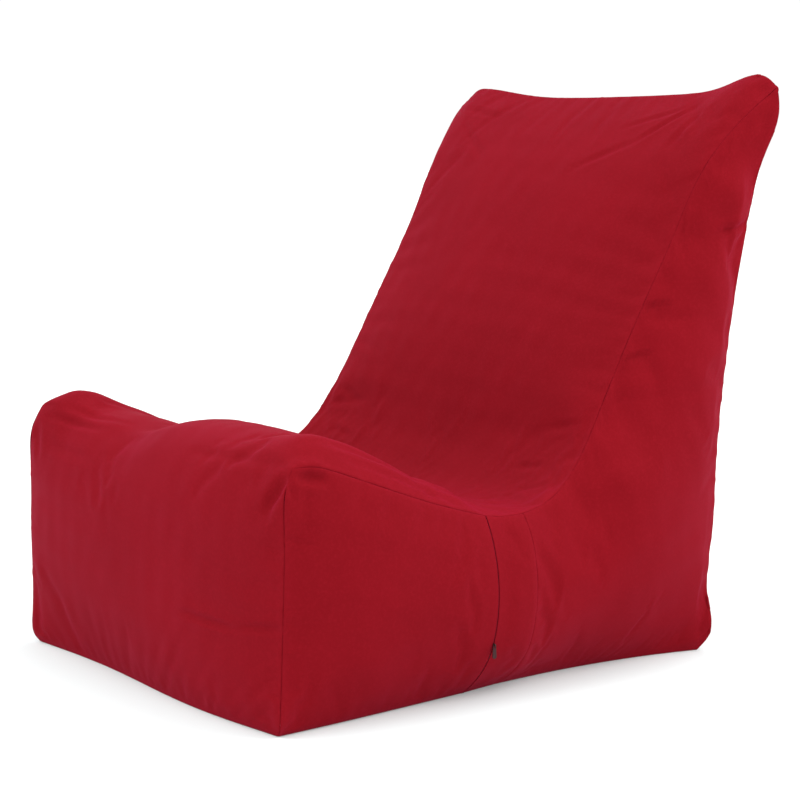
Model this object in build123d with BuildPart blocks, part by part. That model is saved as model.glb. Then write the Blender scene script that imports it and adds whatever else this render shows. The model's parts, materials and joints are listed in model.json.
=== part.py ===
"""Bean bag chair: an L-shaped lounge bag in two layers, an outer cover and an inner
liner, both filled out by loose beads. A concealed zip in each side of the cover opens it,
and a plain zip in the back of the liner is where the beads go in.

Millimetres, +Z up. The sitter faces -Y, and X runs across the seat. The origin is the
middle of the bag's box, on the floor. The zips on the two sides are mirror images, so
each right-hand piece is made once and copied across the middle.
"""

from build123d import *
from math import cos, radians, sin
import os

# --- Side outline of the bag, as (Y, Z) corners with the radius that rounds each ---------
FRONT_FOOT, FRONT_FOOT_RADIUS = (-500, 0), 25
SEAT_FRONT, SEAT_FRONT_RADIUS = (-510, 436), 60
SEAT_HOLLOW, SEAT_HOLLOW_RADIUS = (19, 246), 185
BACK_BEND, BACK_BEND_RADIUS = (373, 843), 150
BACK_TOP, BACK_TOP_RADIUS = (508, 990), 8
REAR_SHOULDER, REAR_SHOULDER_RADIUS = (503, 845), 200
REAR_FOOT, REAR_FOOT_RADIUS = (390, 0), 25

# --- Width of the bag, seen from the front, as (X, Z) ------------------------------------
BULGE_RADIUS = 240  # the bellied lower side, an arc that the side zip follows
BULGE_CENTRE = (200, 175)
BULGE_LOW, BULGE_HIGH = -54.0, 31.4  # degrees round it, from below the floor to the waist
WAIST = (388, 620)
EAR = (438, 1000)
WAIST_BLEND = 60
BELOW_FLOOR = -20  # the width outline runs past the side outline, top and bottom

# --- Layers, from the outside in ---------------------------------------------------------
COVER = 1.5
EASE = 0.2  # the air between one layer and the next
LINER = 0.8
LINER_OUTER = COVER + EASE
LINER_INNER = LINER_OUTER + LINER
BEADS_OUTER = LINER_INNER + EASE

# --- Seams and zips ----------------------------------------------------------------------
ZIP_Y = -125
STRIP_Y = -45  # the seam behind the strip that the zip opens against
CHAIN_LOW, CHAIN_HIGH = -20.0, 25.0  # degrees round the bulge, from level
STOP_ANGLE = 1.2
TAPE_LOW, TAPE_HIGH = CHAIN_LOW - 3.5, CHAIN_HIGH + 1.5
SLIT = 1.2  # half the gap between the two covers' edges
TAPE_DEPTH = (COVER, 2.0)
TAPE_EDGE = 14.0
COIL_DEPTH = (2.0, 4.0)
COIL_ROW = (0.9, 3.2)
PLATE_DEPTH = (4.4, 5.4)
FLANGE_DEPTH = (2.3, 4.5)
FLANGE = (3.5, 4.4)
SLIDER_HALF_ANGLE = 1.8
SLIDER_REST = CHAIN_LOW + 0.7
NECK_HALF_THICKNESS = 0.6
NECK_HALF_LENGTH = 2.0
PIN_HEIGHT = 2.8  # of the pull's pin, above the cover
PIN_RADIUS = 0.8
EYE_RADIUS, EYE_HOLE = 2.2, 1.1
POCKET_DEPTH = 5.9  # how far the chain presses into the liner
POCKET_HALF_WIDTH = 15.0
POCKET_LOW, POCKET_HIGH = TAPE_LOW - 1.5, TAPE_HIGH + 0.5

# --- Pull tab ----------------------------------------------------------------------------
TAB_LENGTH = 18.0  # from the pin to the centre of the round end
TAB_END_RADIUS = 4.0
TAB_ROOT_RADIUS = 2.6
TAB_THICKNESS = 1.2
TAB_WINDOW_HALF_WIDTH = 1.0
TAB_WINDOW_DEPTH = 5.5

# --- Liner zip, on the liner's back ------------------------------------------------------
LINER_ZIP_Z = 240
LINER_TAPE = (320, 30, 0.5)
LINER_CHAIN = (300, 6, 1.4)
LINER_POCKET = (340, 34)
LINER_POCKET_DEPTH = 6.5
SADDLE = (14, 8.6, 1.0)
SADDLE_WALL = 1.0
SADDLE_GAP = 0.3
SADDLE_TAB = (12, 5, 0.8)

REACH = 1200  # larger than the bag in every direction


# --- Shapes shared by the layers ---------------------------------------------------------
def side_prism(inset):
    """The side outline, drawn in by inset, as a block running right across the bag."""
    corners = [
        (FRONT_FOOT, FRONT_FOOT_RADIUS),
        (SEAT_FRONT, SEAT_FRONT_RADIUS),
        (SEAT_HOLLOW, SEAT_HOLLOW_RADIUS),
        (BACK_BEND, BACK_BEND_RADIUS),
        (BACK_TOP, BACK_TOP_RADIUS),
        (REAR_SHOULDER, REAR_SHOULDER_RADIUS),
        (REAR_FOOT, REAR_FOOT_RADIUS),
    ]
    with BuildPart() as prism:
        with BuildSketch(Plane.YZ):
            with BuildLine():
                FilletPolyline(
                    *[point for point, _ in corners],
                    radius=[radius for _, radius in corners],
                    close=True,
                )
            make_face()
            if inset:
                offset(amount=-inset)
        extrude(amount=REACH, both=True)
    return prism.part


def width_prism(inset):
    """The width outline, drawn in by inset, as a block running from front to back."""
    with BuildPart() as prism:
        with BuildSketch(Plane.XZ) as outline:
            with BuildLine():
                belly = CenterArc(BULGE_CENTRE, BULGE_RADIUS, BULGE_LOW, BULGE_HIGH - BULGE_LOW)
                flank = ThreePointArc(belly @ 1, WAIST, EAR)
                Line(flank @ 1, (0, EAR[1]))
                Line((0, EAR[1]), (0, BELOW_FLOOR))
                Line((0, BELOW_FLOOR), belly @ 0)
            make_face()
            fillet(outline.vertices().sort_by_distance(belly @ 1)[0], WAIST_BLEND)
            mirror(about=Plane.YZ)
            if inset:
                offset(amount=-inset)
        extrude(amount=REACH, both=True)
    return prism.part


def slab(y_low, y_high, z_low=-REACH, z_high=REACH):
    """Everything between two distances from front to back, right across the bag."""
    with BuildPart() as block:
        with BuildSketch(Plane.YZ):
            with Locations(((y_low + y_high) / 2, (z_low + z_high) / 2)):
                Rectangle(y_high - y_low, z_high - z_low)
        extrude(amount=REACH, both=True)
    return block.part


with BuildPart() as right_half:
    with Locations((REACH / 2, 0, 0)):
        Box(REACH, 2 * REACH, 2 * REACH)

ZIP_AXIS = Axis((BULGE_CENTRE[0], ZIP_Y, BULGE_CENTRE[1]), (0, -1, 0))


def zip_band(y_range, depth_range, angle_range):
    """A strip that follows the right-hand zip: y from the zip's line, depth in from the
    cover's face, and angle round the bulge."""
    y_low, y_high = y_range
    shallow, deep = depth_range
    low, high = angle_range
    start = Plane(
        origin=(BULGE_CENTRE[0], ZIP_Y, BULGE_CENTRE[1]),
        x_dir=(cos(radians(low)), 0, sin(radians(low))),
        z_dir=(-sin(radians(low)), 0, cos(radians(low))),
    )
    with BuildPart() as band:
        with BuildSketch(start):
            with Locations((BULGE_RADIUS - (shallow + deep) / 2, (y_low + y_high) / 2)):
                Rectangle(deep - shallow, y_high - y_low)
        revolve(axis=ZIP_AXIS, revolution_arc=high - low)
    return band.part


def both_rows(inner, outer, depth_range, angle_range):
    """The same strip on each side of the zip's line."""
    with BuildPart() as rows:
        for low, high in ((-outer, -inner), (inner, outer)):
            add(zip_band((low, high), depth_range, angle_range))
    return rows.part


def side_pocket(grow):
    """The dent that the side zips press into the liner, on both sides of the bag."""
    spread = grow / radians(BULGE_RADIUS)
    half_width = POCKET_HALF_WIDTH + grow
    with BuildPart() as pocket:
        add(
            zip_band(
                (-half_width, half_width),
                (-POCKET_DEPTH, POCKET_DEPTH + grow),
                (POCKET_LOW - spread, POCKET_HIGH + spread),
            )
        )
        mirror(about=Plane.YZ)
    return pocket.part


# The liner zip lies on the flat of the bag's back, which leans out towards the top.
back_run = REAR_SHOULDER[0] - REAR_FOOT[0]
back_rise = REAR_SHOULDER[1] - REAR_FOOT[1]
back_face = Plane(
    origin=(0, REAR_FOOT[0] + back_run * LINER_ZIP_Z / back_rise, LINER_ZIP_Z),
    x_dir=(1, 0, 0),
    z_dir=(0, back_rise, -back_run),
)


def back_block(size, depth_range, x_centre=0.0, v_centre=0.0):
    """A flat block on the bag's back, between two depths in from the cover's face."""
    length, width = size
    shallow, deep = depth_range
    with BuildPart() as block:
        with BuildSketch(back_face.offset(-deep)):
            with Locations((x_centre, v_centre)):
                Rectangle(length, width)
        extrude(amount=deep - shallow)
    return block.part


def back_pocket(grow):
    """The dent that the liner zip makes in the liner and the beads."""
    size = (LINER_POCKET[0] + 2 * grow, LINER_POCKET[1] + 2 * grow)
    return back_block(size, (-LINER_POCKET_DEPTH, LINER_POCKET_DEPTH + grow))


pieces = {}


def keep(name, part):
    """Name a finished piece."""
    part.label = name
    pieces[name] = part


def keep_both_sides(name, part):
    """Keep a right-hand piece and its mirror image."""
    with BuildPart() as left:
        add(part)
        mirror(about=Plane.YZ, mode=Mode.REPLACE)
    keep(f"{name}_right", part)
    keep(f"{name}_left", left.part)


# --- Cover: one band over the front, seat and back, and a side each ----------------------
BOTTOM_FRONT_Y = FRONT_FOOT[0] + FRONT_FOOT_RADIUS
BOTTOM_REAR_Y = REAR_FOOT[0] - REAR_FOOT_RADIUS
BOTTOM_BAND_Z = 10  # above the bottom panel and below anything else

with BuildPart() as cover_band:
    add(side_prism(0))
    add(width_prism(COVER), mode=Mode.INTERSECT)
    add(side_prism(COVER), mode=Mode.SUBTRACT)

bottom_zone = slab(BOTTOM_FRONT_Y, BOTTOM_REAR_Y, -BOTTOM_BAND_Z, BOTTOM_BAND_Z)

with BuildPart() as bottom_panel:
    add(cover_band.part)
    add(bottom_zone, mode=Mode.INTERSECT)
keep("bottom_panel", bottom_panel.part)

# Front and back meet at the top of the back, on the line that halves that corner.
SEAM_INSIDE = (195, 200)
SEAM_OUTSIDE = (BACK_TOP[0] + 12, BACK_TOP[1] + 30)
with BuildPart() as front_zone:
    with BuildSketch(Plane.YZ):
        with BuildLine():
            Polyline(
                (-REACH, -REACH),
                (SEAM_INSIDE[0], -REACH),
                SEAM_INSIDE,
                SEAM_OUTSIDE,
                (-REACH, SEAM_OUTSIDE[1]),
                close=True,
            )
        make_face()
    extrude(amount=REACH, both=True)

with BuildPart() as front_seat_back_panel:
    add(cover_band.part)
    add(bottom_zone, mode=Mode.SUBTRACT)
    add(front_zone.part, mode=Mode.INTERSECT)
keep("front_seat_back_panel", front_seat_back_panel.part)

with BuildPart() as rear_panel:
    add(cover_band.part)
    add(bottom_zone, mode=Mode.SUBTRACT)
    add(front_zone.part, mode=Mode.SUBTRACT)
keep("rear_panel", rear_panel.part)

slit = zip_band((-SLIT, SLIT), (-COVER, 2 * COVER), (CHAIN_LOW, CHAIN_HIGH))
with BuildPart() as cover_side:
    add(side_prism(0))
    add(width_prism(0), mode=Mode.INTERSECT)
    add(width_prism(COVER), mode=Mode.SUBTRACT)
    add(right_half.part, mode=Mode.INTERSECT)
    add(slit, mode=Mode.SUBTRACT)

side_panels = {
    "side_front_panel": (-REACH, ZIP_Y),
    "zip_strip": (ZIP_Y, STRIP_Y),
    "side_rear_panel": (STRIP_Y, REACH),
}
for name, (y_low, y_high) in side_panels.items():
    with BuildPart() as panel:
        add(cover_side.part)
        add(slab(y_low, y_high), mode=Mode.INTERSECT)
    keep_both_sides(name, panel.part)

# --- Side zips: tapes and coils behind the slit, with a stop across each end -------------
tape_angles = (TAPE_LOW, TAPE_HIGH)
keep_both_sides("zip_tape_front", zip_band((-TAPE_EDGE, -SLIT), TAPE_DEPTH, tape_angles))
keep_both_sides("zip_tape_rear", zip_band((SLIT, TAPE_EDGE), TAPE_DEPTH, tape_angles))
keep_both_sides("zip_coil", both_rows(*COIL_ROW, COIL_DEPTH, (CHAIN_LOW, CHAIN_HIGH)))

with BuildPart() as zip_stops:
    for low in (CHAIN_LOW - STOP_ANGLE, CHAIN_HIGH):
        add(zip_band((-COIL_ROW[1], COIL_ROW[1]), COIL_DEPTH, (low, low + STOP_ANGLE)))
keep_both_sides("zip_stops", zip_stops.part)

# The slider's plate rides behind the coils, and its neck stands out through the slit to
# an eye, where the pull hangs.
across_slider = Plane(
    origin=(BULGE_CENTRE[0], ZIP_Y, BULGE_CENTRE[1]),
    x_dir=(cos(radians(SLIDER_REST)), 0, sin(radians(SLIDER_REST))),
    z_dir=(0, -1, 0),
)
slider_angles = (SLIDER_REST - SLIDER_HALF_ANGLE, SLIDER_REST + SLIDER_HALF_ANGLE)
neck_inner = BULGE_RADIUS - sum(PLATE_DEPTH) / 2
pin_radial = BULGE_RADIUS + PIN_HEIGHT
with BuildPart() as zip_slider:
    add(zip_band((-FLANGE[1], FLANGE[1]), PLATE_DEPTH, slider_angles))
    add(both_rows(*FLANGE, FLANGE_DEPTH, slider_angles))
    with BuildSketch(across_slider):
        with Locations(((neck_inner + pin_radial) / 2, 0)):
            Rectangle(pin_radial - neck_inner, 2 * NECK_HALF_LENGTH)
        with Locations((pin_radial, 0)):
            Circle(EYE_RADIUS)
            Circle(EYE_HOLE, mode=Mode.SUBTRACT)
    extrude(amount=NECK_HALF_THICKNESS, both=True)
keep_both_sides("zip_slider", zip_slider.part)

# The pull hangs plumb from its pin: a drop-shaped tab with a window that clears the eye.
pin = across_slider.from_local_coords((pin_radial, 0, 0))
tab_plane = Plane(origin=pin, x_dir=(0, 1, 0), z_dir=(1, 0, 0))
with BuildPart() as zip_pull:
    with BuildSketch(tab_plane):
        with BuildSketch(mode=Mode.PRIVATE) as ends:
            Circle(TAB_ROOT_RADIUS)
            with Locations((0, -TAB_LENGTH)):
                Circle(TAB_END_RADIUS)
        make_hull(ends.edges())
        with Locations((0, -TAB_WINDOW_DEPTH)):
            Rectangle(
                2 * TAB_WINDOW_HALF_WIDTH,
                2 * TAB_WINDOW_DEPTH,
                align=(Align.CENTER, Align.MIN),
                mode=Mode.SUBTRACT,
            )
        with Locations((0, TAB_THICKNESS)):
            Rectangle(
                2 * TAB_END_RADIUS,
                TAB_END_RADIUS,
                align=(Align.CENTER, Align.MIN),
                mode=Mode.SUBTRACT,
            )
    extrude(amount=TAB_THICKNESS / 2, both=True)
    with BuildSketch(Plane(origin=pin, x_dir=(1, 0, 0), z_dir=(0, 1, 0))):
        Circle(PIN_RADIUS)
    extrude(amount=TAB_ROOT_RADIUS - PIN_RADIUS / 2, both=True)
keep_both_sides("zip_pull", zip_pull.part)

# --- Liner: a band and two sides, dented by the zips -------------------------------------
with BuildPart() as liner_hollow:
    add(side_prism(LINER_INNER))
    add(width_prism(LINER_INNER), mode=Mode.INTERSECT)
    add(side_pocket(LINER), mode=Mode.SUBTRACT)
    add(back_pocket(LINER), mode=Mode.SUBTRACT)

with BuildPart() as liner_shell:
    add(side_prism(LINER_OUTER))
    add(width_prism(LINER_OUTER), mode=Mode.INTERSECT)
    add(side_pocket(0), mode=Mode.SUBTRACT)
    add(back_pocket(0), mode=Mode.SUBTRACT)
    add(liner_hollow.part, mode=Mode.SUBTRACT)

with BuildPart() as liner_band_zone:
    add(width_prism(LINER_INNER))
    add(side_pocket(LINER), mode=Mode.SUBTRACT)

with BuildPart() as liner_main:
    add(liner_shell.part)
    add(liner_band_zone.part, mode=Mode.INTERSECT)
keep("liner_main", liner_main.part)

with BuildPart() as liner_side:
    add(liner_shell.part)
    add(liner_band_zone.part, mode=Mode.SUBTRACT)
    add(right_half.part, mode=Mode.INTERSECT)
keep_both_sides("liner_side", liner_side.part)

# --- Liner zip: a tape, a closed coil, and a saddle slider at one end --------------------
tape_top = LINER_POCKET_DEPTH - LINER_TAPE[2]
chain_top = tape_top - LINER_CHAIN[2]
keep("liner_zip_tape", back_block(LINER_TAPE[:2], (tape_top, LINER_POCKET_DEPTH)))
keep("liner_zip_coil", back_block(LINER_CHAIN[:2], (chain_top, tape_top)))

saddle_x = SADDLE[0] / 2 - LINER_CHAIN[0] / 2
saddle_under = chain_top - SADDLE_GAP
saddle_top = saddle_under - SADDLE[2]
with BuildPart() as liner_zip_slider:
    add(back_block(SADDLE[:2], (saddle_top, saddle_under), saddle_x))
    for side in (-1, 1):
        wall_centre = side * (SADDLE[1] - SADDLE_WALL) / 2
        wall_size = (SADDLE[0], SADDLE_WALL)
        add(back_block(wall_size, (saddle_under, tape_top - SADDLE_GAP), saddle_x, wall_centre))
    tab_centre = saddle_x + SADDLE_TAB[0] / 2
    add(back_block(SADDLE_TAB[:2], (saddle_top - SADDLE_TAB[2], saddle_top), tab_centre))
keep("liner_zip_slider", liner_zip_slider.part)

# --- Beads: the loose fill, as one body --------------------------------------------------
with BuildPart() as bead_fill:
    add(side_prism(BEADS_OUTER))
    add(width_prism(BEADS_OUTER), mode=Mode.INTERSECT)
    add(side_pocket(LINER + EASE), mode=Mode.SUBTRACT)
    add(back_pocket(LINER + EASE), mode=Mode.SUBTRACT)
keep("bead_fill", bead_fill.part)

os.makedirs("parts", exist_ok=True)
for name, part in pieces.items():
    export_step(part, f"parts/{name}.step")

print(f"slider at rest: {SLIDER_REST} degrees, pull's pin: {tuple(round(c, 3) for c in pin)}")
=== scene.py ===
"""Looks of the bean bag chair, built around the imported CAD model. Metres, +Z up.

The cover is drawn as nine panels that share their seams: a band over the front, seat and
front of the back, a back and a bottom, and three panels on each side. Each panel is a
grid of points between its seams. A cloth simulation settles the whole cover at once, and
seams, puckers and creases are worked into the finer grids after it.
"""

import json
import math

import bpy
import numpy as np
from mathutils import Vector
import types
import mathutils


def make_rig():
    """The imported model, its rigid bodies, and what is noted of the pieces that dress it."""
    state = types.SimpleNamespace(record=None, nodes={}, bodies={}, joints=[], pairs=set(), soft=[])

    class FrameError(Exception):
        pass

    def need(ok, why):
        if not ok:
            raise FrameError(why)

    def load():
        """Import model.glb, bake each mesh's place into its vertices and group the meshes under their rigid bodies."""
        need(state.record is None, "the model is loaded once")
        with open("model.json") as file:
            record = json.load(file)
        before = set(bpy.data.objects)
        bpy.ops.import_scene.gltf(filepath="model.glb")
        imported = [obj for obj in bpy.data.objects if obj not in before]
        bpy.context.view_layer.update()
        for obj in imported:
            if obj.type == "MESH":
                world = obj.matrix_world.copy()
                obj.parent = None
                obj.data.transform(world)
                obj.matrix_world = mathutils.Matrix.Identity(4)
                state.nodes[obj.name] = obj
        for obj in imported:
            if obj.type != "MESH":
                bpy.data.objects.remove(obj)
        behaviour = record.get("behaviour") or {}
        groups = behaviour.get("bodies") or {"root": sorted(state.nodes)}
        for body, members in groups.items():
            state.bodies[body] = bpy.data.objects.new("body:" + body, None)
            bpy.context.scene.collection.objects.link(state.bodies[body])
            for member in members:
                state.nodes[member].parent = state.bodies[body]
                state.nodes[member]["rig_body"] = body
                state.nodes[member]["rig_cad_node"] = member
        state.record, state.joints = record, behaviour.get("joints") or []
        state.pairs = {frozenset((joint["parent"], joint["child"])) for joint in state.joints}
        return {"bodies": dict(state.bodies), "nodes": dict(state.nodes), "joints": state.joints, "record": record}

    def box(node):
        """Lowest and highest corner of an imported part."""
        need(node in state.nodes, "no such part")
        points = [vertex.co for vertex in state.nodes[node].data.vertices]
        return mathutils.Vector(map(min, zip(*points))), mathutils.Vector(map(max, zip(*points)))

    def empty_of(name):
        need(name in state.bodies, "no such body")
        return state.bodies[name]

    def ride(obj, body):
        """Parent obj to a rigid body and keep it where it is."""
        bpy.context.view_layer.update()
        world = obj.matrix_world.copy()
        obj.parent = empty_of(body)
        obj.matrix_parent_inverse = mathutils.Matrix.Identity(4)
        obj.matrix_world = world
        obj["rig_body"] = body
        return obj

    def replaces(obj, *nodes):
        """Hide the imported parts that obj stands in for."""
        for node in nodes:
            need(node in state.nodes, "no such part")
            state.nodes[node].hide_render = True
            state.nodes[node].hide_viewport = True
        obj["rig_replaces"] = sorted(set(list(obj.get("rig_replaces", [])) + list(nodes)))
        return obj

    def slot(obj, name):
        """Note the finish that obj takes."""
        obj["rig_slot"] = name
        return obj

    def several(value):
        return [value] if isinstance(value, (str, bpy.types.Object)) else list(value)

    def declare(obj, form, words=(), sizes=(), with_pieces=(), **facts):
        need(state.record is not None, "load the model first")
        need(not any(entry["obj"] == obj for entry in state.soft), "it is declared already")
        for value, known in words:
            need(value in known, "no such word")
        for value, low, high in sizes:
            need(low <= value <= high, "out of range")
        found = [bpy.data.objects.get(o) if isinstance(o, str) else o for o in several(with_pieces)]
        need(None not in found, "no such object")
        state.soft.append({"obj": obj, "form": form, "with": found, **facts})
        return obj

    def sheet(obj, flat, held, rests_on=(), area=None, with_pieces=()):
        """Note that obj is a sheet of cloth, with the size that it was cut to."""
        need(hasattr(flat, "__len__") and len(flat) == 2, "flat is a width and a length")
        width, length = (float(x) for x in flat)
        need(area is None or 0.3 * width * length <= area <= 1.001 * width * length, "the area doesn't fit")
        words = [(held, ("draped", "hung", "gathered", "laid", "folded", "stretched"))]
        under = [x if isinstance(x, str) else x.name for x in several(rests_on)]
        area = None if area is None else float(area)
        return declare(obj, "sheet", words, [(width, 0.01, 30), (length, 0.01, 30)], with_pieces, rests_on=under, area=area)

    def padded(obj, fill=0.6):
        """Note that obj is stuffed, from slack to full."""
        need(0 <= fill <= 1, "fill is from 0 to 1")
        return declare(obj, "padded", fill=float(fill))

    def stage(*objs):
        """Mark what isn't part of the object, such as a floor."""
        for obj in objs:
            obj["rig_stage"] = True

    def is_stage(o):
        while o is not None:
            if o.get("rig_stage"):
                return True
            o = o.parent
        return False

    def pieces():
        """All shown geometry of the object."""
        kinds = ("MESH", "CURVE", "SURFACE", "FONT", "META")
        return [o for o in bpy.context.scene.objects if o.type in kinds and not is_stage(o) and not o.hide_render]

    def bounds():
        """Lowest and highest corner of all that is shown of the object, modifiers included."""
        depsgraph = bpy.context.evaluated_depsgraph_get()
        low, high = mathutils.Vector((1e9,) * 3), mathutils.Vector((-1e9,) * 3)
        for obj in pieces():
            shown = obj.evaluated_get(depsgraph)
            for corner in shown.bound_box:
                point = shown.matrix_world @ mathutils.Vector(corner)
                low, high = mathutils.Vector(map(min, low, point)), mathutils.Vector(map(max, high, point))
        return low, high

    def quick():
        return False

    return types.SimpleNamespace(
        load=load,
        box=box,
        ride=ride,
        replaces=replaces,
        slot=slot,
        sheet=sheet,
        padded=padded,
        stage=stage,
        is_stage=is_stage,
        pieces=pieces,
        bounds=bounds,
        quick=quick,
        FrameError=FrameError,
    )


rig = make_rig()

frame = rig.load()
cad_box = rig.bounds()
SIZE_FILE = "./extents.json"

MIRROR = np.array([-1.0, 1.0, 1.0])  # from the right side to the left

# --- Grid: how many cells each seam is divided into ---
UP = 64  # front edge, zip line and rear edge
SEAT = 34  # front corner to zip
STRIP = 7  # across the strip behind the zip
BACK = 72  # strip to the ear at the top
ACROSS = 66  # side to side

SIDE_PANELS = ("side_front_panel", "zip_strip", "side_rear_panel")

# --- Side seams on the right, as (x, y, z) knots ---
FRONT_SEAM = [(0.380, -0.500, 0.0), (0.391, -0.506, 0.012), (0.396, -0.507, 0.05),
              (0.400, -0.504, 0.20), (0.399, -0.501, 0.32), (0.395, -0.496, 0.370),
              (0.388, -0.478, 0.404)]
SEAT_SEAM = [(0.388, -0.478, 0.404), (0.396, -0.446, 0.404), (0.403, -0.40, 0.391),
             (0.411, -0.32, 0.361), (0.410, -0.22, 0.326), (0.405, -0.125, 0.299)]
STRIP_SEAM = [(0.405, -0.125, 0.299), (0.405, -0.085, 0.294), (0.402, -0.045, 0.294)]
BACK_SEAM = [(0.402, -0.045, 0.294), (0.390, 0.022, 0.308), (0.379, 0.080, 0.348),
             (0.371, 0.132, 0.416), (0.367, 0.184, 0.504), (0.366, 0.248, 0.614),
             (0.367, 0.313, 0.724), (0.374, 0.370, 0.830), (0.400, 0.447, 0.925),
             (0.423, 0.500, 0.974)]
REAR_SEAM = [(0.368, 0.388, 0.0), (0.384, 0.402, 0.030), (0.381, 0.398, 0.10),
             (0.384, 0.402, 0.20), (0.384, 0.409, 0.32), (0.383, 0.422, 0.45),
             (0.384, 0.444, 0.60), (0.390, 0.468, 0.74), (0.408, 0.489, 0.86),
             (0.428, 0.500, 0.930), (0.423, 0.500, 0.974)]
FLOOR_FRONT = [(0.380, -0.500, 0.0), (0.374, -0.40, 0.0), (0.361, -0.25, 0.0),
               (0.349, -0.125, 0.0)]
FLOOR_STRIP = [(0.349, -0.125, 0.0), (0.342, -0.085, 0.0), (0.336, -0.045, 0.0)]
FLOOR_REAR = [(0.336, -0.045, 0.0), (0.330, 0.10, 0.0), (0.335, 0.20, 0.0),
              (0.348, 0.30, 0.0), (0.368, 0.388, 0.0)]

# --- Middle line of the bag, as (y, z) knots ---
FRONT_LINE = [(-0.506, 0.0), (-0.519, 0.05), (-0.527, 0.18), (-0.521, 0.30),
              (-0.498, 0.390), (-0.455, 0.422)]
SEAT_LINE = [(-0.455, 0.425), (-0.38, 0.424), (-0.30, 0.395), (-0.20, 0.336), (-0.10, 0.296)]
STRIP_LINE = [(-0.10, 0.296), (-0.065, 0.287), (-0.02, 0.282)]
BACK_LINE = [(-0.02, 0.282), (0.035, 0.295), (0.087, 0.342), (0.136, 0.424), (0.175, 0.52),
             (0.225, 0.62), (0.285, 0.73), (0.355, 0.84), (0.424, 0.919), (0.459, 0.951),
             (0.481, 0.965)]
REAR_LINE = [(0.395, 0.0), (0.412, 0.05), (0.428, 0.2), (0.443, 0.4), (0.460, 0.6),
             (0.480, 0.78), (0.491, 0.89), (0.495, 0.938), (0.481, 0.965)]
CROWN = 2.4  # how square each section across the band is
FLOOR_CROWN = 4.0  # and each section across the bottom

# --- Soft shapes laid over the band ---
# The soft ears: place across from -1 to 1, height, and spread towards the middle
TOP_EARS = [(-0.84, 0.018, 0.34), (0.91, 0.026, 0.18)]
SEAT_EARS = [(-0.96, 0.010, 0.22), (0.72, 0.006, 0.20)]
EAR_OUTER = 0.13  # spread of an ear towards its corner
EAR_EDGE = 30  # how late an ear falls away to the seam
SEAT_EAR_LINE = (-0.45, 0.09)  # y along which the seat's ears stand, and their reach
SEAT_EAR_END = -0.2  # y behind which they don't reach
SEAT_DIP = (-0.30, 0.020, 0.20)  # place across, depth and spread of the hollow in the seat
SEAT_TILT = 0.020  # how much higher the seat is on its near half
SEAT_RIDGE = (0.87, 0.030, 0.13)  # place across, height and spread of the roll along each side
RIDGE_EDGE = 20  # how late the roll falls away to the seam
SEAT_LOW = 0.25  # height that the rolls begin at
FRONT_SKEW = -0.010  # how far the front foot leaves its straight line
SKEW_UP, SKEW_BACK = 0.12, 0.05  # its reach up the front and back along the bottom
SKEW_LINE, SKEW_END = -0.5, -0.3  # y of the foot, and y behind which nothing is skewed
# Where these shapes fade in, as (start, reach)
TOP_FADE = (0.84, 0.12)  # in z, up the back
SEAT_FADE = (0.33, 0.08)  # in z, up the front
DIP_FADE = (0.08, 0.16)  # in -y, forwards from the zip
RIDGE_FRONT_FADE = (-0.50, 0.10)  # in y, backwards from the front
RIDGE_REAR_FADE = (0.02, 0.20)  # in -y, forwards from the back
# Corners that stand higher or lower than their mirror images: x, y, z from, height and reach
UNEVEN_CORNERS = [(-0.40, -0.465, 0.25, 0.020, 0.075), (-0.425, 0.505, 0.88, -0.010, 0.035)]
UNEVEN_RISE = 0.10  # height over which such a corner grows
UNEVEN_WAY = np.array([-0.3, 0.0, 1.0])

# --- Sides ---
# Points on the belly of the side, between its seams
BELLY = [(0.43, -0.32, 0.2), (0.425, -0.40, 0.22), (0.415, -0.35, 0.08), (0.432, 0.10, 0.17),
         (0.428, 0.25, 0.20), (0.428, 0.15, 0.33), (0.420, 0.28, 0.38), (0.414, 0.30, 0.52),
         (0.408, 0.36, 0.66), (0.41, 0.41, 0.80), (0.385, 0.20, 0.06), (0.39, 0.33, 0.08)]

SEAM_SHARE = 12  # the belly is reached one twelfth of the way in from a seam
SAMPLE_STEP = 9  # every ninth point of a seam steers the side's surface
ARC_LOW, ARC_HIGH = 0.09, 0.24  # heights between which the zip keeps to its arc

# The zip follows the arc that the CAD slider turns about.
zip_joint = next(j for j in frame["joints"] if j["name"] == "zip_slide_right")
ZIP_CENTRE = np.array([zip_joint["pos_m"][0], zip_joint["pos_m"][2]])
ZIP_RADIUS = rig.box("zip_strip_right")[1].x - ZIP_CENTRE[0]
ZIP_Y = zip_joint["pos_m"][1]


# --- Curves and surfaces ---
SPLINE_STEPS = 400  # points tried along a spline before they are spaced evenly


def smoothstep(value):
    """0 below 0, 1 above 1, and a smooth rise between."""
    value = np.clip(value, 0.0, 1.0)
    return value * value * (3.0 - 2.0 * value)


def fade(value, start_and_reach):
    """0 up to the start, and 1 from there on after the reach."""
    start, reach = start_and_reach
    return smoothstep((value - start) / reach)


def hump(value, place, spread):
    """A smooth hump of height 1 at the place."""
    return np.exp(-(((value - place) / spread) ** 2))


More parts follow.
